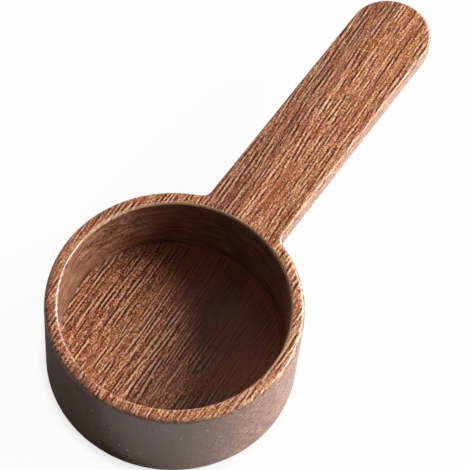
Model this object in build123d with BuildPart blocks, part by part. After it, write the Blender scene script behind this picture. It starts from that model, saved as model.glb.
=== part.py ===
from build123d import *
import math
import os

# Measuring scoop, carved from one block of walnut.
# The origin is the centre of the cup's base, +Z is up and the handle points along +X.
# The grain of the wood runs along X, through the handle, the rim and the cup's floor.

# Cup
cup_diameter = 54.0
cup_height = 24.5
wall_thickness = 3.0
pocket_depth = 17.0
pocket_floor_radius = 1.2
base_edge_radius = 1.2

# Handle, a flat slab level with the rim
handle_width = 18.5
handle_thickness = 4.8
centre_to_tip = 93.5
root_radius = 2.5

# Sanded edges
rim_outer_edge_radius = 0.8
rim_inner_edge_radius = 0.7
handle_lower_edge_radius = 0.9

# How far the pocket's cutter stands above the rim
cut_overrun = 1.0

cup_radius = cup_diameter / 2
pocket_radius = cup_radius - wall_thickness
pocket_floor_height = cup_height - pocket_depth
handle_underside_height = cup_height - handle_thickness
tip_centre = centre_to_tip - handle_width / 2


def at_height(edge, height):
    """True for an edge that lies flat at the given height."""
    box = edge.bounding_box()
    return math.isclose(box.min.Z, height, abs_tol=1e-4) and math.isclose(box.max.Z, height, abs_tol=1e-4)


def radius_at_middle(edge):
    """Distance of an edge's midpoint from the cup's axis."""
    middle = edge.position_at(0.5)
    return math.hypot(middle.X, middle.Y)


with BuildPart() as scoop:
    # The cup's outside is a plain turned cylinder.
    with BuildSketch(Plane.XY):
        Circle(cup_radius)
    extrude(amount=cup_height)

    # The handle is a slot-shaped slab from the cup's axis to its round tip.
    with BuildSketch(Plane.XY.offset(handle_underside_height)):
        with Locations((tip_centre / 2, 0)):
            SlotCenterToCenter(tip_centre, handle_width)
    extrude(amount=handle_thickness)

    # The handle's sides sweep into the cup's wall.
    root_edges = scoop.edges().filter_by(Axis.Z).filter_by(
        lambda edge: math.isclose(radius_at_middle(edge), cup_radius, abs_tol=1e-4)
        and abs(edge.center().Y) > handle_width / 4
    )
    fillet(root_edges, root_radius)

    # The pocket is a straight round recess with a small radius round its floor.
    with BuildSketch(Plane.XY.offset(pocket_floor_height)):
        Circle(pocket_radius)
    extrude(amount=pocket_depth + cut_overrun, mode=Mode.SUBTRACT)
    floor_edge = scoop.edges().filter_by(lambda edge: at_height(edge, pocket_floor_height))
    fillet(floor_edge, pocket_floor_radius)

    # Every outer edge is eased with sandpaper.
    top_edges = scoop.edges().filter_by(lambda edge: at_height(edge, cup_height))
    outer_top_edges = top_edges.filter_by(
        lambda edge: not math.isclose(radius_at_middle(edge), pocket_radius, abs_tol=1e-4)
    )
    inner_top_edges = top_edges.filter_by(
        lambda edge: math.isclose(radius_at_middle(edge), pocket_radius, abs_tol=1e-4)
    )
    fillet(outer_top_edges, rim_outer_edge_radius)
    fillet(inner_top_edges, rim_inner_edge_radius)
    handle_lower_edges = scoop.edges().filter_by(
        lambda edge: at_height(edge, handle_underside_height)
        and not math.isclose(radius_at_middle(edge), cup_radius, abs_tol=1e-4)
    )
    fillet(handle_lower_edges, handle_lower_edge_radius)
    base_edge = scoop.edges().filter_by(lambda edge: at_height(edge, 0))
    fillet(base_edge, base_edge_radius)

scoop.part.label = "scoop"

capacity_ml = math.pi * pocket_radius**2 * pocket_depth / 1000
print("overall length", cup_radius + centre_to_tip)
print("pocket capacity in ml, before its rounded edges", round(capacity_ml, 2))

os.makedirs("parts", exist_ok=True)
export_step(scoop.part, "parts/scoop.step")
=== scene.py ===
# %% [markdown]
# # A carved walnut scoop
# This lesson dresses the measured model of a wooden coffee scoop for a close photograph.
# The measured model is loaded first, as a fixed frame. It says where everything is, in metres,
# and nothing here may move or resize it. The looks are then built around it: the carved shape
# with its hand-sanded edges, the walnut, the table, the light and the camera.

# %% Load the measured model
import math

import bmesh
import bpy
from mathutils import Matrix, Vector


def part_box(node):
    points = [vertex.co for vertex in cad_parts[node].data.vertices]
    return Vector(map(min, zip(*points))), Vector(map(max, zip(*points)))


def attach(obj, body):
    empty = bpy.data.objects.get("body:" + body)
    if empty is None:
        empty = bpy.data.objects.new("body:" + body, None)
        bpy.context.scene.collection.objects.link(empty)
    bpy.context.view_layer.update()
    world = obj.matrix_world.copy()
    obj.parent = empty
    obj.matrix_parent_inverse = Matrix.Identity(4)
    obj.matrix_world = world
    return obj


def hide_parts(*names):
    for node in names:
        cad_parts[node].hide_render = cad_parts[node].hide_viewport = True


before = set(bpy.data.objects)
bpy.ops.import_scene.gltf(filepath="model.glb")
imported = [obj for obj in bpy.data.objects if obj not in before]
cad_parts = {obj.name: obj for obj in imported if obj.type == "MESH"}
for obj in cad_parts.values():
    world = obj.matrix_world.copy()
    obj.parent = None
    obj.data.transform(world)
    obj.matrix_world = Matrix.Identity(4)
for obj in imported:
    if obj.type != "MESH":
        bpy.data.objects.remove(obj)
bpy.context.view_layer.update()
MM = 0.001    # metres in a millimetre
lowest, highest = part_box("scoop")
print("nodes", sorted(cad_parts), "box in mm", [round(v / MM, 2) for v in (*lowest, *highest)])

# %% [markdown]
# ## Sizes
# The outer sizes come from the measured model's box: the cup is centred on the origin, so the
# box starts one cup radius behind it and ends at the handle's tip. The box can't tell the inner
# sizes, so those are written here, in millimetres, as a maker would mark them on the block.
# A reach says how far a hollow spreads from the corner that it fills. The extra inner rounding
# is what wear adds to the rim's inner edge on one side, and the hand wander is how much more the
# sandpaper takes off in one place than in another.

# %% Sizes in millimetres
sizes = {
    "Cup Radius": -lowest.x / MM,
    "Cup Height": highest.z / MM,
    "Centre To Tip": highest.x / MM,
    "Wall": 3.0,
    "Pocket Depth": 17.0,
    "Handle Width": 18.5,
    "Handle Thickness": 4.8,
    "Root Reach": 1.65,
    "Underside Root Reach": 1.3,
    "Rim Outer Rounding": 0.95,
    "Handle Edge Rounding": 0.6,
    "Rim Inner Rounding": 0.55,
    "Extra Inner Rounding": 0.25,
    "Underside Rounding": 0.9,
    "Base Rounding": 1.2,
    "Floor Rounding": 1.2,
    "Hand Wander": 0.07,
}
print("sizes in mm", {name: round(value, 3) for name, value in sizes.items()})

# %% [markdown]
# ## Writing sums as nodes
# A shape that follows a rule, as this one does, can be written as a sum, and Geometry Nodes can
# work the sum out at every point of space. Wiring dozens of Math nodes by hand is hard to read.
# So this small class lets Python's own signs add the nodes: `a + b` places an Add node and
# wires both values into it. The wood's shader further down uses it too.

# %% A number that flows through a node tree


class Flow:
    """A value in a node tree. Signs and the functions below place Math nodes on it."""

    def __init__(self, tree, socket):
        self.tree = tree
        self.socket = socket

    def math(self, operation, *others):
        node = self.tree.nodes.new("ShaderNodeMath")
        node.operation = operation
        for place, value in enumerate((self, *others)):
            plug(self.tree, value, node.inputs[place])
        return Flow(self.tree, node.outputs[0])

    def __add__(self, other):
        return self.math("ADD", other)

    def __sub__(self, other):
        return self.math("SUBTRACT", other)

    def __mul__(self, other):
        return self.math("MULTIPLY", other)

    def __truediv__(self, other):
        return self.math("DIVIDE", other)

    def __neg__(self):
        return self.math("MULTIPLY", -1.0)


def plug(tree, value, socket):
    """Wires a flowing value into a socket, or writes a plain one there."""
    if isinstance(value, Flow):
        tree.links.new(value.socket, socket)
    elif hasattr(value, "links"):
        tree.links.new(value, socket)
    else:
        socket.default_value = value


# %% Comparing and blending numbers


def smaller(a, b):
    return a.math("MINIMUM", b)


def larger(a, b):
    return a.math("MAXIMUM", b)


def kept_within(value, low, high):
    return smaller(larger(value, low), high)


def across(a, b):
    """Length of the diagonal over two sides."""
    return (a * a + b * b).math("SQRT")


def step_between(value, start, end):
    """Rises smoothly from 0 to 1 while the value goes from start to end."""
    node = value.tree.nodes.new("ShaderNodeMapRange")
    node.interpolation_type = "SMOOTHSTEP"
    plug(value.tree, value, node.inputs["Value"])
    plug(value.tree, start, node.inputs["From Min"])
    plug(value.tree, end, node.inputs["From Max"])
    return Flow(value.tree, node.outputs["Result"])


def between(share, a, b):
    """Goes from a to b as the share goes from 0 to 1."""
    return (b - a) * share + a


# %% Vectors and soft noise


def vector_math(tree, operation, *values):
    node = tree.nodes.new("ShaderNodeVectorMath")
    node.operation = operation
    for place, value in enumerate(values):
        plug(tree, value, node.inputs[place])
    return node.outputs["Value" if operation == "DOT_PRODUCT" else "Vector"]


def joined(tree, *values):
    """Three values as one vector."""
    node = tree.nodes.new("ShaderNodeCombineXYZ")
    for value, socket in zip(values, node.inputs):
        plug(tree, value, socket)
    return node.outputs[0]


def parted(tree, vector):
    """The three values of a vector."""
    node = tree.nodes.new("ShaderNodeSeparateXYZ")
    tree.links.new(vector, node.inputs[0])
    return [Flow(tree, socket) for socket in node.outputs]


def cloud(tree, vector, spread=None, detail=1.0):
    """Soft noise around 0. It changes over about the spread, or over one unit without it."""
    if spread:
        vector = vector_math(tree, "DIVIDE", vector, spread)
    node = tree.nodes.new("ShaderNodeTexNoise")
    node.inputs["Scale"].default_value = 1.0
    node.inputs["Detail"].default_value = detail
    tree.links.new(vector, node.inputs["Vector"])
    return (Flow(tree, node.outputs[0]) - 0.5) * 2.0


# %% [markdown]
# ## The carved shape as one rule
# On the real scoop the cup, the rim and the handle are one block of wood, so no seam may show
# and each root has to flow. Extruded shapes joined by a Boolean would leave hard creases there.
# A distance rule does it better. It says for any point how far it is from the wood's surface,
# negative inside. Two rules joined with a rounded corner give an edge eased with sandpaper, and
# joined with a hollow corner they give the sweep at the handle's root.

# %% Corners between two distance rules


def eased_edge(a, b, radius):
    """The wood inside both rules, with the edge between them rounded off."""
    overshoot = across(larger(a + radius, 0.0), larger(b + radius, 0.0))
    return smaller(larger(a, b), -radius) + overshoot


def hollow_root(a, b, reach):
    """The wood inside either rule, with the inner corner between them filled in a hollow curve."""
    undershoot = across(larger(reach - a, 0.0), larger(reach - b, 0.0))
    return larger(smaller(a, b), reach) - undershoot


# %% [markdown]
# ## Made by hand
# A cutter leaves the same edge everywhere, and sandpaper doesn't. On the real scoop the rim is
# eased more than the handle, and its inner edge is worn widest on the left, away from the handle.
# The rule can follow that, because a rounding may itself be a sum: here it grows with the place.

# %% The block before the pocket is cut
ROOT_ZONE = (20.0, 33.0)   # mm along the handle, where the rim's easing turns into the handle's
TOP_SHARE = 0.3            # share of the sanding's unevenness that reaches the flat top


def block_rule(size, x, y, z, from_axis, sanded):
    """The cup and the handle as one block, with its edges eased and its roots hollowed."""
    tip_centre = size["Centre To Tip"] - size["Handle Width"] * 0.5
    along = x - smaller(larger(x, 0.0), tip_centre)
    cup_side = from_axis - size["Cup Radius"] + sanded
    handle_side = across(along, y) - size["Handle Width"] * 0.5 + sanded
    underside = size["Cup Height"] - size["Handle Thickness"]
    handle = eased_edge(handle_side, underside - z, size["Underside Rounding"])

    # The root's hollow differs between the handle's sides and its underside.
    beside = step_between(z, underside - size["Root Reach"] * 0.5, underside + size["Underside Rounding"])
    reach = between(beside, size["Underside Root Reach"], size["Root Reach"])
    block = hollow_root(cup_side, handle, reach)

    on_handle = step_between(x, *ROOT_ZONE)
    rounding = between(on_handle, size["Rim Outer Rounding"], size["Handle Edge Rounding"])
    block = eased_edge(block, z - size["Cup Height"] + sanded * TOP_SHARE, rounding)
    return eased_edge(block, -z, size["Base Rounding"])


# %% The pocket and its worn edge
WORN_SIDE = math.radians(138)    # bearing of the widest inner edge, turned left from the handle
WORN_SHARES = (0.1, 0.9)         # shares of the pocket's radius that way: widening begins, and ends


def pocket_rule(size, radius, z, from_axis):
    """The round pocket, with a hollow corner round its floor."""
    floor = size["Cup Height"] - size["Pocket Depth"]
    return eased_edge(from_axis - radius, floor - z, size["Floor Rounding"])


def inner_edge_rounding(size, radius, x, y):
    """The easing of the rim's inner edge, which grows towards the worn side."""
    towards_worn = (x * math.cos(WORN_SIDE) + y * math.sin(WORN_SIDE)) / radius
    extra = step_between(towards_worn, *WORN_SHARES) * size["Extra Inner Rounding"]
    return size["Rim Inner Rounding"] + extra


# %% The distance group
SANDING_SPREAD = (22.0, 22.0, 22.0)    # mm between one low place left by the sandpaper and the next


def named_inputs(tree, names, kind="NodeSocketFloat"):
    for name in names:
        tree.interface.new_socket(name, in_out="INPUT", socket_type=kind)


def build_distance_group():
    """A node group that tells how far a point is from the scoop's surface, in millimetres."""
    tree = bpy.data.node_groups.new("scoop distance", "GeometryNodeTree")
    named_inputs(tree, ["Position"], "NodeSocketVector")
    named_inputs(tree, sizes)
    tree.interface.new_socket("Distance", in_out="OUTPUT", socket_type="NodeSocketFloat")
    given = tree.nodes.new("NodeGroupInput").outputs
    size = {name: Flow(tree, given[name]) for name in sizes}
    x, y, z = parted(tree, given["Position"])
    from_axis = across(x, y)
    radius = size["Cup Radius"] - size["Wall"]

    # Sanding by hand leaves the surface a little uneven, and only ever takes wood away.
    unevenness = cloud(tree, given["Position"], SANDING_SPREAD) * 0.5 + 0.5
    block = block_rule(size, x, y, z, from_axis, unevenness * size["Hand Wander"])
    pocket = pocket_rule(size, radius, z, from_axis)
    carved = eased_edge(block, -pocket, inner_edge_rounding(size, radius, x, y))

    out = tree.nodes.new("NodeGroupOutput")
    tree.links.new(carved.socket, out.inputs["Distance"])
    return tree


distance_group = build_distance_group()
print("distance rule", len(distance_group.nodes), "nodes")

# %% [markdown]
# ## From the rule to a mesh
# Volume Cube works the rule out on a fine grid, and Volume to Mesh wraps a skin round the wood.
# The skin of such a grid sits slightly off the true surface, so each of its points then slides
# along the rule's slope onto it. Readings a little way off on all sides tell how sharply the
# surface bends. That is kept on the mesh: the walnut needs it, because worn edges and dark
# corners follow the bend. The grid is counted in millimetres and only the finished skin is
# scaled to metres, because Blender refuses grids with cells as small as these in metres.

# %% Reading the rule


def passed_on(tree, geometry, kind, **values):
    """Sends the geometry through one more node, whose inputs are set by name."""
    node = tree.nodes.new("GeometryNode" + kind)
    tree.links.new(geometry, node.inputs[0])
    for name, value in values.items():
        plug(tree, value, node.inputs[name])
    return node.outputs[0]


def distance_at(tree, given, position):
    """How far a position is from the wood's surface, in millimetres."""
    node = tree.nodes.new("GeometryNodeGroup")
    node.node_tree = distance_group
    tree.links.new(position, node.inputs["Position"])
    for name in sizes:
        tree.links.new(given[name], node.inputs[name])
    return Flow(tree, node.outputs["Distance"])


def readings_around(tree, given, here, step):
    """The distances one step ahead and one step behind, along each axis."""
    for axis in ((step, 0, 0), (0, step, 0), (0, 0, step)):
        ahead = distance_at(tree, given, vector_math(tree, "ADD", here, axis))
        behind = distance_at(tree, given, vector_math(tree, "SUBTRACT", here, axis))
        yield ahead, behind


# %% The grid and its skin
VOXEL = 0.42        # mm, the grid's cells: any finer and the skin passes 200,000 triangles
MARGIN = 1.3        # mm of air round the block


def wrapped_skin(tree, size, distance):
    """Fills a grid round the block with how deep each point lies in the wood, and wraps a skin."""
    grid = tree.nodes.new("GeometryNodeVolumeCube")
    plug(tree, -distance, grid.inputs["Density"])
    grid.inputs["Background"].default_value = -MARGIN
    edge = -size["Cup Radius"] - MARGIN
    low = (edge, edge, -MARGIN)
    high = (size["Centre To Tip"] + MARGIN, size["Cup Radius"] + MARGIN, size["Cup Height"] + MARGIN)
    tree.links.new(joined(tree, *low), grid.inputs["Min"])
    tree.links.new(joined(tree, *high), grid.inputs["Max"])
    for name, start, end in zip("XYZ", low, high):
        count = ((end - start) / size["Voxel"]).math("CEIL")
        plug(tree, count, grid.inputs["Resolution " + name])
    return passed_on(tree, grid.outputs[0], "VolumeToMesh", Threshold=0.0)


# %% Onto the true surface
SLOPE_STEP = 0.05   # mm between a point and a reading of the slope
SLIDES = 3          # each slide lands closer, and three are close enough for the eye


def slid_onto_surface(tree, mesh, distance, readings):
    """Moves each point of the skin along the rule's slope, until it lies on the wood's surface."""
    slope = joined(tree, *((ahead - behind) / (2 * SLOPE_STEP) for ahead, behind in readings))
    steepness = Flow(tree, vector_math(tree, "DOT_PRODUCT", slope, slope))
    slide = tree.nodes.new("ShaderNodeVectorMath")
    slide.operation = "SCALE"
    tree.links.new(slope, slide.inputs[0])
    plug(tree, -distance / steepness, slide.inputs["Scale"])
    for _ in range(SLIDES):
        mesh = passed_on(tree, mesh, "SetPosition", Offset=slide.outputs[0])
    return mesh


# %% How sharply the surface bends
BEND_STEP = 0.3     # mm, about the smallest edge that is felt with a finger


def with_bend(tree, mesh, distance, readings):
    """Keeps the bend on the mesh: above 0 on an edge, below 0 in a hollow."""
    readings = [reading for pair in readings for reading in pair]
    bend = -distance * float(len(readings))
    for reading in readings:
        bend = bend + reading
    return passed_on(tree, mesh, "StoreNamedAttribute", Name="bend", Value=bend / BEND_STEP**2)


# %% The carving tree


def build_carving_tree():
    """The tree that turns the distance rule into the scoop's mesh."""
    tree = bpy.data.node_groups.new("carve scoop", "GeometryNodeTree")
    named_inputs(tree, sizes)
    named_inputs(tree, ["Voxel"])
    named_inputs(tree, ["Wood"], "NodeSocketMaterial")
    tree.interface.new_socket("Mesh", in_out="OUTPUT", socket_type="NodeSocketGeometry")
    given = tree.nodes.new("NodeGroupInput").outputs
    size = {name: Flow(tree, given[name]) for name in (*sizes, "Voxel")}
    here = tree.nodes.new("GeometryNodeInputPosition").outputs[0]
    distance = distance_at(tree, given, here)

    mesh = wrapped_skin(tree, size, distance)
    mesh = slid_onto_surface(tree, mesh, distance, readings_around(tree, given, here, SLOPE_STEP))
    mesh = with_bend(tree, mesh, distance, readings_around(tree, given, here, BEND_STEP))
    mesh = passed_on(tree, mesh, "Transform", Scale=(MM, MM, MM))
    mesh = passed_on(tree, mesh, "SetShadeSmooth")
    mesh = passed_on(tree, mesh, "RealizeInstances")
    mesh = passed_on(tree, mesh, "SetMaterial", Material=given["Wood"])
    out = tree.nodes.new("NodeGroupOutput")
    tree.links.new(mesh, out.inputs["Mesh"])
    return tree


carving_tree = build_carving_tree()
print("carving tree", len(carving_tree.nodes), "nodes")

# %% [markdown]
# ## Walnut, seen through
# The wood could be painted on with a picture, but then the end of the handle and the cup's wall
# would show the same stripes as the top. Real wood is a solid: the carver only uncovers it.
# So every pattern here is a rule of all three coordinates, drawn out along the grain, which
# runs the length of the handle. Cut along the grain, a pore shows as a dark dash, and cut
# across it, the same pore shows as a dot. That comes by itself. The grain isn't quite straight:
# the block was sawn a little askew, and the tree swayed as it grew.

# %% Coordinates in the wood
GRAIN_ANGLE = math.radians(3.5)    # the grain drifts left up the handle
SLOW_SWAY = (55.0, 16.0, 16.0)     # mm, the spread of the grain's wide bends
QUICK_SWAY = (9.0, 3.0, 3.0)       # mm, the spread of its small ones
SLOW_SHIFT = 1.5                   # mm that the wide bends move the grain sideways
QUICK_SHIFT = 0.08                 # mm that the small ones do
RISE_SHARE = 0.7                   # share of the shift that goes up as well


def block_coordinates(tree):
    """Object coordinates in mm, straight along the scoop."""
    place = tree.nodes.new("ShaderNodeTexCoord").outputs["Object"]
    in_mm = tree.nodes.new("ShaderNodeMapping")
    in_mm.inputs["Scale"].default_value = (1 / MM,) * 3
    tree.links.new(place, in_mm.inputs["Vector"])
    return in_mm.outputs[0]


def grain_coordinates(tree, straight):
    """The same coordinates, turned and bent as the grain is."""
    shift = cloud(tree, straight, SLOW_SWAY) * SLOW_SHIFT + cloud(tree, straight, QUICK_SWAY) * QUICK_SHIFT
    turned = tree.nodes.new("ShaderNodeMapping")
    turned.inputs["Rotation"].default_value = (0.0, 0.0, -GRAIN_ANGLE)
    tree.links.new(straight, turned.inputs["Vector"])
    return vector_math(tree, "ADD", turned.outputs[0], joined(tree, 0.0, shift, shift * RISE_SHARE))


walnut = bpy.data.materials.new("oiled walnut")
walnut.use_nodes = True
tree = walnut.node_tree
surface = tree.nodes["Principled BSDF"]
straight = block_coordinates(tree)
grain = grain_coordinates(tree, straight)
print("material", walnut.name, "with", len(tree.nodes), "nodes")

# %% [markdown]
# ## Fibres and pores as groups
# Two effects make up most of what the eye takes for walnut, and each is used at several sizes.
# So each is a node group, built once. Fibres are soft streaks: noise drawn out along X.
# Pores are hollow tubes: a Voronoi pattern drawn out along X has one long cell for each tube,
# and the middle of the cell is the pore. The thin shell round it is the pore's lip, which is
# painted lighter, as a highlight on the pore's edge.

# %% The fibre group
BESIDE = 0.9         # widths from a streak's middle to the light one next to it
CONTRAST = 2.2       # brings the streaks from faint differences up to about 1
STRONGEST = 1.6      # no streak is darker or lighter than this


def new_shader_group(name, inputs, outputs):
    tree = bpy.data.node_groups.new(name, "ShaderNodeTree")
    named_inputs(tree, ["Vector"], "NodeSocketVector")
    named_inputs(tree, inputs)
    for output in outputs:
        tree.interface.new_socket(output, in_out="OUTPUT", socket_type="NodeSocketFloat")
    given = tree.nodes.new("NodeGroupInput").outputs
    return tree, given, tree.nodes.new("NodeGroupOutput").inputs


def build_fibre_group():
    """Streaks of a given length and width in mm, each dark one with a light one on either side."""
    tree, given, out = new_shader_group("wood fibres", ["Length", "Width"], ["Streak"])
    width = given["Width"]
    stretched = vector_math(tree, "DIVIDE", given["Vector"], joined(tree, given["Length"], width, width))
    middle = cloud(tree, stretched, detail=0.0)
    left = cloud(tree, vector_math(tree, "ADD", stretched, (0.0, BESIDE, 0.0)), detail=0.0)
    right = cloud(tree, vector_math(tree, "SUBTRACT", stretched, (0.0, BESIDE, 0.0)), detail=0.0)
    streak = (middle - (left + right) * 0.5) * CONTRAST
    tree.links.new(kept_within(streak, -STRONGEST, STRONGEST).socket, out["Streak"])
    return tree


fibre_group = build_fibre_group()
print("fibre group", len(fibre_group.nodes), "nodes")

# %% The pore group
SMALLEST = 0.5       # the smallest pore's reach, as a share of the largest one's
PORE_CORE = 0.6      # share of a pore's reach that is fully dark
LIP_CORE = 1.1       # the lip is full up to this multiple of the pore's reach
LIP_END = 1.7        # and gone at this one


def build_pore_group():
    """Pores, with their length and spacing in mm, and the share of cells that hold one."""
    inputs = ["Length", "Spacing", "Size", "Share"]
    tree, given, out = new_shader_group("wood pores", inputs, ["Pore", "Lip"])
    spacing = given["Spacing"]
    cells = tree.nodes.new("ShaderNodeTexVoronoi")
    cells.inputs["Scale"].default_value = 1.0
    stretched = vector_math(tree, "DIVIDE", given["Vector"], joined(tree, given["Length"], spacing, spacing))
    tree.links.new(stretched, cells.inputs["Vector"])
    from_middle = Flow(tree, cells.outputs["Distance"])
    how_big, which, _ = parted(tree, cells.outputs["Color"])
    reach = Flow(tree, given["Size"]) * (how_big * (1.0 - SMALLEST) + SMALLEST)
    open_here = which.math("LESS_THAN", Flow(tree, given["Share"]))
    pore = step_between(from_middle, reach, reach * PORE_CORE) * open_here
    shell = step_between(from_middle, reach * LIP_END, reach * LIP_CORE) * open_here
    tree.links.new(pore.socket, out["Pore"])
    tree.links.new((shell - pore).socket, out["Lip"])
    return tree


pore_group = build_pore_group()
print("pore group", len(pore_group.nodes), "nodes")

# %% [markdown]
# ## Edges and corners
# Hands and spoons rub the edges of a scoop first. There the oil wears thin and the wood is
# lighter, in broken patches rather than as an even line. The whole edge is polished too, so the
# rim catches the light as a thin line. The floor's corner and the handle's root are darker, as
# painted shade. All three follow the bend that the carving tree stored on the mesh:
# above 0 on an edge, below 0 in a hollow.

# %% The edge wear group
WORN_PATCH = (1.6, 0.4, 0.4)   # mm, the spread of a worn patch, drawn out along the grain
WORN_BEND = (0.9, 2.3)         # the bend, made uneven by the patches, where wear begins and is full
EDGE_BEND = (0.5, 1.2)         # the bend where an edge begins and is full
HOLLOW_BEND = (0.1, 0.8)       # the inward bend where a hollow does


def build_wear_group():
    """Masks for worn patches on the edges, for the whole edge and for hollows, which are later painted
    darker as shade.
    """
    tree, given, out = new_shader_group("edge wear", ["Breakup"], ["Worn", "Edge", "Hollow"])
    stored = tree.nodes.new("ShaderNodeAttribute")
    stored.attribute_name = "bend"
    bend = Flow(tree, stored.outputs["Fac"])
    broken = cloud(tree, given["Vector"], WORN_PATCH, detail=2.0) * Flow(tree, given["Breakup"])
    tree.links.new(step_between(bend + broken, *WORN_BEND).socket, out["Worn"])
    tree.links.new(step_between(bend, *EDGE_BEND).socket, out["Edge"])
    tree.links.new(step_between(-bend, *HOLLOW_BEND).socket, out["Hollow"])
    return tree


wear_group = build_wear_group()
print("wear group", len(wear_group.nodes), "nodes")

# %% [markdown]
# ## The walnut's layers
# Now the layers go together, from broad to fine. Growth rings give bands of lighter and of
# darker brown, and one dark ring shows twice: along the left of the handle and, where the pocket
# is cut down to it, across the floor. Fibres of three sizes lie over them, then a fine speckle
# and the pores. The wear group is placed here too, so that its patches run with the grain.

# %% Growth rings
HEART = (67.0, -15.0)          # mm, the middle of the tree from the cup's centre, in Y and Z
BAND = (140.0, 4.0)            # mm, the length of a band along the grain and its depth in rings
BAND_SLICE = 4.0               # which slice of the noise gives the bands: any other gives other ones
PATCH = (14.0, 4.0, 4.0)       # mm, the spread of the patches between them
DARK_RING = (73.2, 3.4)        # mm, its distance from the heart and half its width
RAGGED = 0.9                   # mm that the patches push the dark ring's border about
SPREAD_OUT = 1.6               # brings noise of detail 2 up to about 1


def growth_rings(tree, place):
    """Distance from the heart of the tree, in mm."""
    _, y, z = parted(tree, place)
    return across(y - HEART[0], z - HEART[1])


rings = growth_rings(tree, straight)
along_trunk, _, _ = parted(tree, grain)
band_place = joined(tree, along_trunk / BAND[0], rings / BAND[1], BAND_SLICE)
bands = cloud(tree, band_place, detail=2.0) * SPREAD_OUT
patches = cloud(tree, grain, PATCH, detail=2.0) * SPREAD_OUT
off_ring = (rings + patches * RAGGED - DARK_RING[0]).math("ABSOLUTE")
dark_ring = step_between(off_ring, DARK_RING[1], DARK_RING[1] * 0.5)
print("dark ring", DARK_RING[0], "mm from the heart, heart at", HEART, "mm")

# %% Fibres, pores and wear
SPECK = (0.4, 0.35, 0.35)      # mm, the spread of the fine speckle
SPECK_CONTRAST = 2.2           # brings it up to about 1, as with the fibres
SHORT_PORE_SHARE = 0.8         # how strong a short pore is beside a long one


def place_group(tree, group, vector, **values):
    """Places a node group and gives its outputs as flowing values."""
    node = tree.nodes.new("ShaderNodeGroup")
    node.node_tree = group
    tree.links.new(vector, node.inputs["Vector"])
    for name, value in values.items():
        node.inputs[name.title()].default_value = value
    return [Flow(tree, socket) for socket in node.outputs]


broad, = place_group(tree, fibre_group, grain, length=40.0, width=1.5)
fine, = place_group(tree, fibre_group, grain, length=6.0, width=0.45)
hair, = place_group(tree, fibre_group, grain, length=1.8, width=0.45)
long_pore, long_lip = place_group(tree, pore_group, grain, length=10.0, spacing=0.8, size=0.28, share=0.7)
short_pore, short_lip = place_group(
    tree, pore_group, grain, length=5.0, spacing=0.7, size=0.26, share=0.5,
)
pores = larger(long_pore, short_pore * SHORT_PORE_SHARE)
# The lips are painted lighter further down: a painted highlight on each pore's edge.
lip_highlights = larger(long_lip, short_lip * SHORT_PORE_SHARE)
speck = cloud(tree, grain, SPECK) * SPECK_CONTRAST
worn, edge, hollow = place_group(tree, wear_group, grain, breakup=2.6)
print("groups placed", sum(node.type == "GROUP" for node in tree.nodes))

# %% [markdown]
# ## Places on the scoop
# The same wood looks different from place to place, so each place gets a mask of 0 to 1. The way
# the surface faces tells end grain and upright sides, and the distance from the cup's axis tells
# the cup and its pocket. The pocket's wall keeps faint rings from the cutter, and the outer wall
# has pale flecks where cut-off pores hold dust. On the pocket's floor the grain is painted fainter
# towards the handle's right, where the floor lies in shadow. The block is a little darker along its
# left side and lighter along its right one. The worn edges on the right get a painted glint, and
# the rim's inner edge by the handle an even pale line, partly wear and partly a painted highlight
# on an edge that faces away from the light.

# %% Ways the surface faces
END_GRAIN = (0.3, 0.85)        # share by which it faces along the handle
UPRIGHT = (0.8, 0.3)           # share by which it faces up or down

facing_x, _, facing_z = parted(tree, tree.nodes.new("ShaderNodeTexCoord").outputs["Normal"])
end_grain = step_between(facing_x.math("ABSOLUTE"), *END_GRAIN)
upright = step_between(facing_z.math("ABSOLUTE"), *UPRIGHT)
print("end grain and upright sides,", len(tree.nodes), "nodes so far")

# %% Cup, pocket and walls
POCKET_BORDER = (0.6, 0.2)     # mm outside the pocket's wall, where its mask begins and is full
CUP_BORDER = (3.0, 0.5)        # mm outside the cup's wall, in the same way
RIM_BORDER = (0.8, 0.2)        # the same, but tighter, to keep off the handle
INNER_EDGE_BORDER = (1.6, 1.2)    # mm outside the pocket's wall: the rim's inner half

place_x, place_y, place_z = parted(tree, straight)
from_axis = across(place_x, place_y)
cup_radius = sizes["Cup Radius"]
pocket_radius = cup_radius - sizes["Wall"]


def within(radius, border):
    """A mask for all that lies within a radius of the cup's axis, with a soft border."""
    return step_between(from_axis, radius + border[0], radius + border[1])


in_pocket = within(pocket_radius, POCKET_BORDER)
on_cup = within(cup_radius, CUP_BORDER)
on_rim = edge * within(cup_radius, RIM_BORDER)
inner_edge = edge * within(pocket_radius, INNER_EDGE_BORDER)
wall = upright * on_cup
inner_wall = wall * in_pocket
outer_wall = wall - inner_wall
print("pocket", round(pocket_radius, 2), "mm and cup", round(cup_radius, 2), "mm in radius")

# %% Sides of the scoop
LEFT_SIDE = (12.0, 22.0)       # mm to the left of the middle line, where it begins and is full
RIGHT_SIDE = (-14.0, -23.0)    # mm, the same to the right
PAINTED_GLINT_SIDE = (-17.0, -22.0)   # mm, the same for the worn edges that get a painted glint
BY_HANDLE = (-4.0, 8.0)        # mm from the cup's axis towards the handle
SHADED_FLOOR_WAY = (0.8, -0.6)      # the way to the shaded floor: along the handle, and to its right
SHADED_FLOOR = (-3.0, 12.0)         # mm that way from the cup's axis

left_side = step_between(place_y, *LEFT_SIDE)
right_side = step_between(place_y, *RIGHT_SIDE)
# Painted glint: on this side the worn edges are made paler, standing in for light on them.
painted_glint_side = step_between(place_y, *PAINTED_GLINT_SIDE)
# Where the rim's inner edge gets its pale line: partly wear, partly a painted highlight.
by_handle = step_between(place_x, *BY_HANDLE)
# Painted shade: the grain on the pocket's floor is made fainter where the floor lies in shadow.
floor_in_shade = in_pocket * step_between(place_x * SHADED_FLOOR_WAY[0] + place_y * SHADED_FLOOR_WAY[1], *SHADED_FLOOR)
print("sides ready,", len(tree.nodes), "nodes so far")

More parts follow.
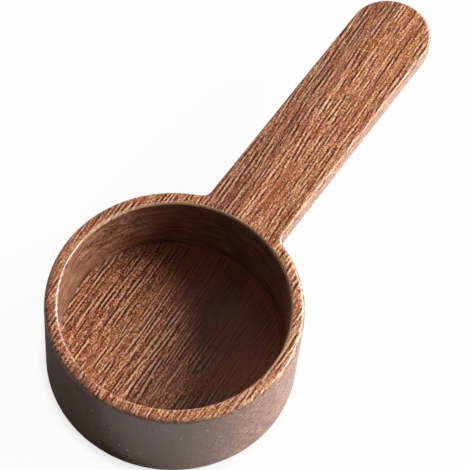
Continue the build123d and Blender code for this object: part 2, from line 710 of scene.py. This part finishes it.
# %% Cutter rings and dust
CUTTER_RING = (5.0, 0.7)       # mm, the spread of a ring along the wall and its height
DUSTY_PLACE = (9.0, 9.0, 5.0)  # mm, the spread of the places that hold dust
DUST = (0.95, 0.95, 0.7)       # mm, the spread of the noise whose peaks are the flecks
DUSTY = (-0.1, 0.3)            # the noise where a dusty place begins and is full
FLECK = (0.36, 0.43)           # and where a fleck does

ring_place = joined(tree, place_x / CUTTER_RING[0], place_z / CUTTER_RING[1], place_y / CUTTER_RING[0])
cutter_rings = cloud(tree, ring_place) * inner_wall
dusty = step_between(cloud(tree, straight, DUSTY_PLACE), *DUSTY)
flecks = step_between(cloud(tree, straight, DUST, detail=2.0), *FLECK) * dusty * outer_wall
print("masks ready,", len(tree.nodes), "nodes so far")

# %% [markdown]
# ## Tone and colour
# Each layer of the wood first adds to one tone, from dark to light, and a ramp of browns then
# colours it. That keeps all the layers in one family of colours. Of the fine fibres only the
# darkest and the lightest parts are kept, which leaves separate dark dashes with a light line
# beside them, and calm wood in between. On end grain and on upright sides the fibres hardly
# show, and on the pocket's floor they are painted fainter where it lies in shadow. Whatever isn't
# a tone of the same brown is laid over it afterwards: a pore is open and dark, with a painted
# highlight on its lip, end grain drinks more oil, a worn edge is pale, in places with a painted
# highlight, and each wall has its own cast, the pocket's wall one that also greys its shade.
# The hollows get painted shade.

# %% Tone
DASH = (-0.5, -1.0)            # streaks of the fine fibres where a dark dash begins and is full
GLINT = (0.6, 1.3)             # streaks where a light line begins and is full
DASH_TONE = 0.58               # what a dash takes from the tone
GLINT_TONE = 0.38              # what a light line adds
BOLDER_IN_POCKET = 0.6         # share by which both are stronger in the pocket
SPECK_TONE = 0.38              # what the speckle adds or takes, on the outside
MORE_IN_POCKET = 0.12          # and this much more in the pocket
HAIR_TONE = 0.12
BROAD_TONE = 0.08
BAND_TONE = 0.06
PATCH_TONE = 0.05
CUTTER_TONE = 0.6
POCKET_TONE = -0.02            # the pocket is a little darker, and so is the left side
LEFT_TONE = -0.05
RIGHT_TONE = 0.11              # the right side is lighter
LEVEL = 0.09                   # makes up for the dashes, which take more than the lines add
MIDDLE_TONE = 0.5


def faded(mask, share=1.0):
    """1 where the mask is 0, and less by a share where it is 1."""
    return mask * -share + 1.0


# The fibres hardly show on end grain and upright sides, and are painted fainter on the shaded floor.
along_grain = faded(end_grain, 0.7) * faded(upright, 0.3) * faded(inner_wall, 0.55) * faded(floor_in_shade, 0.8)
dash = step_between(fine, *DASH)
glint = step_between(fine, *GLINT)
lines = (glint * GLINT_TONE - dash * DASH_TONE) * (in_pocket * BOLDER_IN_POCKET + 1.0)
speckle = speck * (in_pocket * MORE_IN_POCKET + SPECK_TONE)
texture = lines + hair * HAIR_TONE + speckle + broad * BROAD_TONE + LEVEL
tone = bands * BAND_TONE + patches * PATCH_TONE + texture * along_grain + cutter_rings * CUTTER_TONE
tone = tone + in_pocket * POCKET_TONE + left_side * LEFT_TONE + right_side * RIGHT_TONE + MIDDLE_TONE
print("tone ready,", len(tree.nodes), "nodes so far")

# %% Browns


def srgb(red, green, blue):
    """A colour picked on screen, 0 to 255, as the linear values that shaders use."""
    def linear(value):
        value /= 255
        return value / 12.92 if value <= 0.04045 else ((value + 0.055) / 1.055) ** 2.4

    return (linear(red), linear(green), linear(blue), 1.0)


def tone_ramp(tree, tone, stops):
    """Turns a tone of 0 to 1 into a colour that runs through the given stops."""
    node = tree.nodes.new("ShaderNodeValToRGB")
    ramp = node.color_ramp
    while len(ramp.elements) < len(stops):
        ramp.elements.new(0.5)
    for element, (place, colour) in zip(ramp.elements, stops):
        element.position = place
        element.color = colour
    tree.links.new(kept_within(tone, 0.0, 1.0).socket, node.inputs[0])
    return node.outputs[0]


BROWNS = [
    (0.0, srgb(62, 20, 5)),
    (0.25, srgb(128, 63, 30)),
    (0.5, srgb(173, 103, 62)),
    (0.75, srgb(205, 138, 97)),
    (1.0, srgb(252, 200, 162)),
]
CASTS = [
    (0.0, (1.0, 0.92, 1.06, 1.0)),
    (1.0, (1.0, 1.04, 0.87, 1.0)),
]
CAST_SPREAD = (5.0, 1.3, 1.3)  # mm, the spread of a place with a rosy or a yellow cast
CAST_CONTRAST = 1.5

brown = tone_ramp(tree, tone, BROWNS)
cast_tone = cloud(tree, grain, CAST_SPREAD, detail=2.0) * CAST_CONTRAST + 0.5
cast = tone_ramp(tree, cast_tone, CASTS)
print("browns at tones", [place for place, _ in BROWNS])

# %% Layers of colour
WORN_SHARE = 0.34              # how far a worn patch covers the brown
PAINTED_GLINT_SHARE = 0.3             # how much further a worn patch covers where a glint is painted
INNER_EDGE_SHARE = 0.4         # how far the even pale line by the handle covers: part wear, part painted highlight


def blend(tree, share, under, over, kind="MIX"):
    """Lays one colour over another by a share of 0 to 1."""
    node = tree.nodes.new("ShaderNodeMix")
    node.data_type = "RGBA"
    node.blend_type = kind
    for value, place in ((share, 0), (under, 6), (over, 7)):
        plug(tree, value, node.inputs[place])
    return node.outputs[2]


# The pale edges are partly wear and partly painted highlight: the glint on the right, and the line by the
# handle on an edge that faces away from the light.
wear = larger(worn * (painted_glint_side * PAINTED_GLINT_SHARE + WORN_SHARE), inner_edge * by_handle * INNER_EDGE_SHARE)

# A stain multiplies what lies under it, and paint covers it. Each has its share and its colour.
STAIN, PAINT = "MULTIPLY", "MIX"
layers = [
    ("rosy and yellow casts", STAIN, 1.0, cast),
    ("dark growth ring", STAIN, dark_ring * 0.9, (0.71, 0.67, 0.71, 1.0)),
    # Painted highlight: the pores' lips are made lighter, as if their edges caught the light.
    ("lips of the pores", PAINT, lip_highlights * along_grain * 0.3, srgb(246, 188, 142)),
    ("pores", PAINT, pores * smaller(along_grain, 0.95), srgb(52, 12, 2)),
    ("outer wall", STAIN, outer_wall, (0.61, 0.62, 0.59, 1.0)),
    # A cool cast on the pocket's wall: partly its colour, partly painted, so that its shade looks grey
    # rather than red.
    ("pocket's wall", STAIN, inner_wall, (0.92, 1.24, 1.80, 1.0)),
    ("end grain", STAIN, end_grain * 0.75, (0.33, 0.36, 0.41, 1.0)),
    ("flecks of dust", PAINT, flecks, srgb(243, 236, 228)),
    # Worn edges: real wear in broken patches, with painted highlights on the right and by the handle.
    ("worn edges", PAINT, wear, srgb(250, 206, 166)),
    # Painted shade: the hollows at the floor's corner and the handle's root are darkened.
    ("hollows", STAIN, hollow * 0.6, (0.55, 0.48, 0.45, 1.0)),
]
for _, kind, share, colour in layers:
    brown = blend(tree, share, brown, colour, kind)
tree.links.new(brown, surface.inputs["Base Color"])
print("colour layers:", ", ".join(name for name, *_ in layers))

# %% [markdown]
# ## Oil and relief
# The scoop is oiled, not lacquered. On the flat top the oil has soaked in and leaves a soft
# sheen, while the walls and above all the handle's sides keep a thin film of it. The Coat of the
# Principled shader is such a film: a second, clearer reflection over the wood. Open pores and
# hollows break it, and on the rim's outer edge, which is polished, it is nearly as thick as on
# the handle's sides. The same layers that colour the wood also drive its roughness and its bump,
# so that a pore is rough and sunken as well as dark. The relief is tiny, a few hundredths of a
# millimetre, so a Bump node is enough.

# %% Roughness and oil
WOOD_ROUGHNESS = 0.42
ROUGHNESS_LIMITS = (0.2, 0.9)
OIL_ON_TOP = 0.2               # the film on the flat top, as a share of a full coat
RIM_POLISH = 0.8               # the film on the rim's outer edge
OIL_ROUGHNESS = 0.25


def weighed(*layers):
    """The sum of some layers, each times its weight."""
    (first, weight), *others = layers
    total = first * weight
    for layer, weight in others:
        total = total + layer * weight
    return total


roughness = weighed(
    (pores, 0.08), (fine, 0.03), (patches, 0.04), (hollow, 0.3), (worn, -0.06), (end_grain, 0.04),
) + WOOD_ROUGHNESS
tree.links.new(kept_within(roughness, *ROUGHNESS_LIMITS).socket, surface.inputs["Roughness"])
film = (weighed((upright, 0.7), (wall, -0.3)) + OIL_ON_TOP) * faded(hollow) * faded(pores)
oil = larger(film, on_rim * RIM_POLISH)
tree.links.new(oil.socket, surface.inputs["Coat Weight"])
surface.inputs["Coat Roughness"].default_value = OIL_ROUGHNESS
print("roughness around", WOOD_ROUGHNESS, "and oil on top", OIL_ON_TOP)

# %% Relief
RELIEF_STRENGTH = 0.8

relief = tree.nodes.new("ShaderNodeBump")
relief.inputs["Distance"].default_value = MM
relief.inputs["Strength"].default_value = RELIEF_STRENGTH
height_in_mm = weighed((fine, 0.008), (hair, 0.006), (pores * along_grain, -0.03))
tree.links.new(height_in_mm.socket, relief.inputs["Height"])
tree.links.new(relief.outputs[0], surface.inputs["Normal"])
print("walnut", len(tree.nodes), "nodes")

# %% [markdown]
# ## Carving
# The tree runs once, as a modifier on an empty block. Its result is then kept as a plain mesh
# and the modifier goes, so that the piece is the same in every program that opens it.

# %% Carve the scoop


def carve_scoop():
    """Runs the carving tree once and keeps its result as a plain mesh."""
    block = bpy.data.meshes.new("uncarved block")
    piece = bpy.data.objects.new("carved_scoop", block)
    bpy.context.scene.collection.objects.link(piece)
    carve = piece.modifiers.new("carve", "NODES")
    carve.node_group = carving_tree
    values = {**sizes, "Voxel": VOXEL, "Wood": walnut}
    for socket in carving_tree.interface.items_tree:
        if socket.in_out == "INPUT":
            carve[socket.identifier] = values[socket.name]
    finished = piece.evaluated_get(bpy.context.evaluated_depsgraph_get())
    piece.data = bpy.data.meshes.new_from_object(finished)
    piece.data.name = "carved_scoop"
    piece.modifiers.remove(carve)
    bpy.data.meshes.remove(block)
    return piece


def mesh_report(piece):
    """Prints how many faces a piece has, whether it is closed, its volume and its reach."""
    shape = bmesh.new()
    shape.from_mesh(piece.data)
    triangles = sum(len(face.verts) - 2 for face in shape.faces)
    open_edges = sum(not edge.is_manifold for edge in shape.edges)
    volume = shape.calc_volume(signed=True)
    shape.free()
    corners = [vertex.co for vertex in piece.data.vertices]
    span = [(min(c[i] for c in corners) / MM, max(c[i] for c in corners) / MM) for i in range(3)]
    print(piece.name, triangles, "triangles", open_edges, "open edges", round(volume / MM**3), "mm3")
    print("  spans in mm", [tuple(round(v, 3) for v in pair) for pair in span])


scoop = carve_scoop()
mesh_report(scoop)
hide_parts("scoop")
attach(scoop, "root")

# %% [markdown]
# ## The table
# The scoop stands on a white table that the photograph shows almost without a shadow: only a
# narrow dark line hugs the base. Light can't do both, so the table glows for the camera alone,
# and less so right beside the base. Ambient Occlusion finds that place: it tells how much of
# the sky a point of the table sees past the things that stand close.

# %% Table
TABLE_HALF_WIDTH = 3.0    # metres
ROUND_THE_TABLE = ((-1, -1), (1, -1), (1, 1), (-1, 1))

table_mesh = bpy.data.meshes.new("table")
corners = [(x * TABLE_HALF_WIDTH, y * TABLE_HALF_WIDTH, 0) for x, y in ROUND_THE_TABLE]
table_mesh.from_pydata(corners, [], [(0, 1, 2, 3)])
table = bpy.data.objects.new("table", table_mesh)
bpy.context.scene.collection.objects.link(table)
print("table", 2 * TABLE_HALF_WIDTH, "metres wide")

# %% The table's white
WHITE = (0.88, 0.88, 0.88, 1)
GLOW_IN_OPEN = 0.95       # share of plain white that the camera sees away from the scoop
GLOW_AT_BASE = 0.7        # and right beside it
NEAR_BASE = 0.004         # metres from the base that still count as beside it
OPEN_SKY = (0.3, 0.85)    # share of the sky that the table sees, at the base and in the open

table_paint = bpy.data.materials.new("white table")
table_paint.use_nodes = True
paint_tree = table_paint.node_tree
paint = paint_tree.nodes["Principled BSDF"]
paint.inputs["Base Color"].default_value = WHITE
paint.inputs["Roughness"].default_value = 0.8
paint.inputs["Specular IOR Level"].default_value = 0.2
shine = paint_tree.nodes.new("ShaderNodeEmission")
sky = paint_tree.nodes.new("ShaderNodeAmbientOcclusion")
sky.samples = 16
sky.inputs["Distance"].default_value = NEAR_BASE
camera_ray = Flow(paint_tree, paint_tree.nodes.new("ShaderNodeLightPath").outputs["Is Camera Ray"])
in_open = step_between(Flow(paint_tree, sky.outputs["AO"]), *OPEN_SKY)
glow = camera_ray * (in_open * (GLOW_IN_OPEN - GLOW_AT_BASE) + GLOW_AT_BASE)
look = paint_tree.nodes.new("ShaderNodeMixShader")
for value, socket in zip((glow, paint.outputs[0], shine.outputs[0]), look.inputs):
    plug(paint_tree, value, socket)
paint_tree.links.new(look.outputs[0], paint_tree.nodes["Material Output"].inputs["Surface"])
table_mesh.materials.append(table_paint)
print("table glows", GLOW_IN_OPEN, "in the open and", GLOW_AT_BASE, "at the base")

# %% [markdown]
# ## Light
# The shadow inside the cup tells where the light stands. Its edge crosses the floor half way, so
# the light is about 30 degrees above the table, off the handle's right side, and the edge is
# soft, so the light is wide. One softbox could do, but two side by side give the wall its slow
# turn from light to dark. A weak third one, off the handle's left side, keeps the far side from
# going black. Its reflection is switched off, so that the rim's far edge stays dark against the
# white. The room adds very little to a matt surface, and more to what a glossy one reflects.

# %% Softboxes
LAMP_DISTANCE = 1.0                 # metres
AIM = Vector((0.02, 0, 0.015))      # metres, a point in the cup, on the handle's side


def softbox(name, azimuth, elevation, width, height, power):
    """A lamp that stands off at a bearing from +X, turned to the left, and looks at the scoop."""
    data = bpy.data.lights.new(name, "AREA")
    data.shape = "RECTANGLE"
    data.size = width
    data.size_y = height
    data.energy = power
    lamp = bpy.data.objects.new(name, data)
    bearing, rise = math.radians(azimuth), math.radians(elevation)
    away = Vector((math.cos(bearing) * math.cos(rise), math.sin(bearing) * math.cos(rise), math.sin(rise)))
    lamp.location = AIM + away * LAMP_DISTANCE
    lamp.rotation_euler = away.to_track_quat("Z", "Y").to_euler()
    bpy.context.scene.collection.objects.link(lamp)
    print("lamp", name, "bearing", azimuth, "height", elevation, "degrees", power, "W")
    return lamp


softbox("window near", azimuth=-54, elevation=35, width=0.45, height=0.28, power=9.2)
softbox("window far", azimuth=-25, elevation=22, width=0.40, height=0.30, power=7.8)
fill = softbox("back fill", azimuth=75, elevation=22, width=0.40, height=0.30, power=1.3)
fill.visible_glossy = False

# %% The room
ROOM_LIGHT = 0.04     # what the room adds to a matt surface
ROOM_GLEAM = 0.36     # what a glossy one reflects of its pale walls
ROOM_TINT = (0.86, 0.93, 1.0, 1.0)
PLAIN_WHITE = (1.0, 1.0, 1.0, 1.0)

world = bpy.data.worlds.new("studio")
bpy.context.scene.world = world
world.use_nodes = True
room_tree = world.node_tree
room = room_tree.nodes["Background"]
rays = room_tree.nodes.new("ShaderNodeLightPath").outputs
seen = Flow(room_tree, rays["Is Camera Ray"])
mirrored = Flow(room_tree, rays["Is Glossy Ray"])
strength = seen * (1.0 - ROOM_LIGHT) + mirrored * (ROOM_GLEAM - ROOM_LIGHT) + ROOM_LIGHT
plug(room_tree, strength, room.inputs["Strength"])
room_tree.links.new(blend(room_tree, seen, ROOM_TINT, PLAIN_WHITE), room.inputs["Color"])
print("room adds", ROOM_LIGHT, "of light and", ROOM_GLEAM, "of gleam")

# %% [markdown]
# ## Camera
# The camera was found by fitting: the rim's two circles, the foot of the wall and the handle's
# edges were marked on the photograph, and a camera was moved until the measured model fell on
# them. It stands above the end of the scoop that has no handle, a little to the right of it. It
# looks down by 60 degrees and leans a little. The lens is long, so the shapes hardly taper.

# %% Camera
CAMERA_AZIMUTH = math.radians(-61.559)
CAMERA_ELEVATION = math.radians(59.854)
CAMERA_ROLL = math.radians(6.399)
CAMERA_DISTANCE = 453.12 * MM
CAMERA_TARGET = Vector((20.738, -0.955, 24.5)) * MM
SENSOR_WIDTH = 36     # mm
LENS = 165.06         # mm
NEAREST = 0.01        # metres: nothing closer to the camera is drawn

camera_data = bpy.data.cameras.new("camera")
camera_data.sensor_width = SENSOR_WIDTH
camera_data.lens = LENS
camera_data.clip_start = NEAREST
camera = bpy.data.objects.new("camera", camera_data)
level = math.cos(CAMERA_ELEVATION)
forward = Vector((
    -math.sin(CAMERA_AZIMUTH) * level,
    math.cos(CAMERA_AZIMUTH) * level,
    -math.sin(CAMERA_ELEVATION),
))
right = Vector((math.cos(CAMERA_AZIMUTH), math.sin(CAMERA_AZIMUTH), 0))
up = right.cross(forward)
leaning_right = right * math.cos(CAMERA_ROLL) + up * math.sin(CAMERA_ROLL)
leaning_up = up * math.cos(CAMERA_ROLL) - right * math.sin(CAMERA_ROLL)
turn = Matrix((leaning_right, leaning_up, -forward)).transposed().to_4x4()
camera.matrix_world = Matrix.Translation(CAMERA_TARGET - forward * CAMERA_DISTANCE) @ turn
bpy.context.scene.collection.objects.link(camera)
bpy.context.scene.camera = camera
bpy.context.scene.view_settings.view_transform = "Standard"
print("camera at", [round(v / MM, 1) for v in camera.location], "mm")
